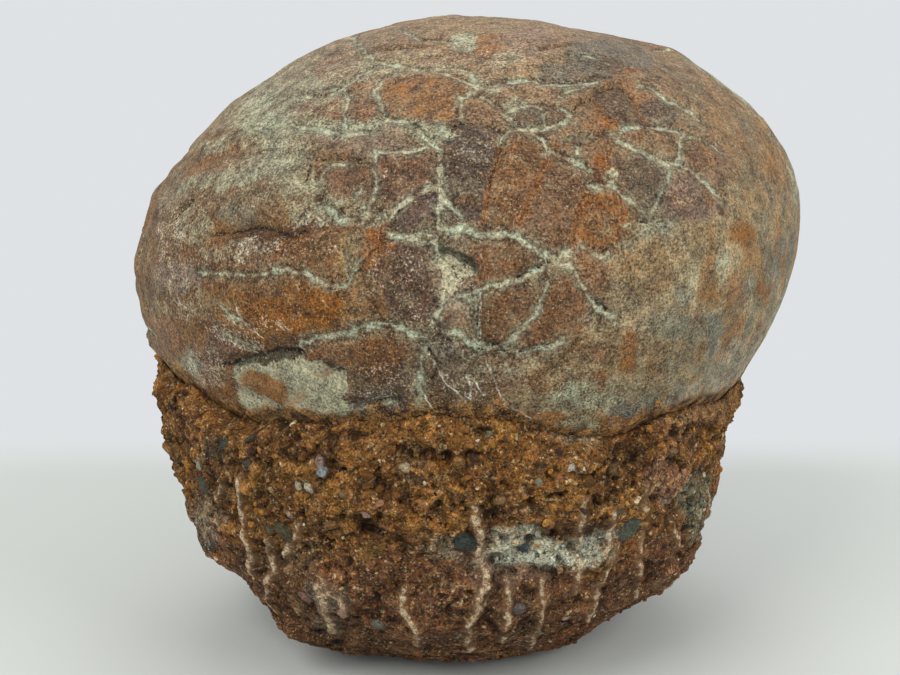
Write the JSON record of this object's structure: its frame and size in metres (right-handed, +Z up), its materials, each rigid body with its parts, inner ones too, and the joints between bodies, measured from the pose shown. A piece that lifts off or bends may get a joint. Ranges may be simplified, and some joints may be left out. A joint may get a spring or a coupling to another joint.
{
  "type": "fossil dinosaur egg",
  "caption": "Squat fossil egg with a cracked, vein-filled shell, half bedded in a rough red sandstone matrix that tapers to a small flat foot.",
  "frame": {"origin": "on the surface that it rests on, under the middle of its bounding box", "axes": "+X along the egg's long side towards its higher end, +Z up, -Y is the front with the cracked plates"},
  "size_m": [0.1458, 0.136, 0.1373],
  "materials": {
    "shell": "worn brown fossil shell with pale veins, dull satin",
    "matrix_rock": "rough crumbly red-brown sandstone, matt"
  },
  "bodies": {
    "root": {"egg": "shell", "matrix": "matrix_rock"}
  },
  "joints": []
}
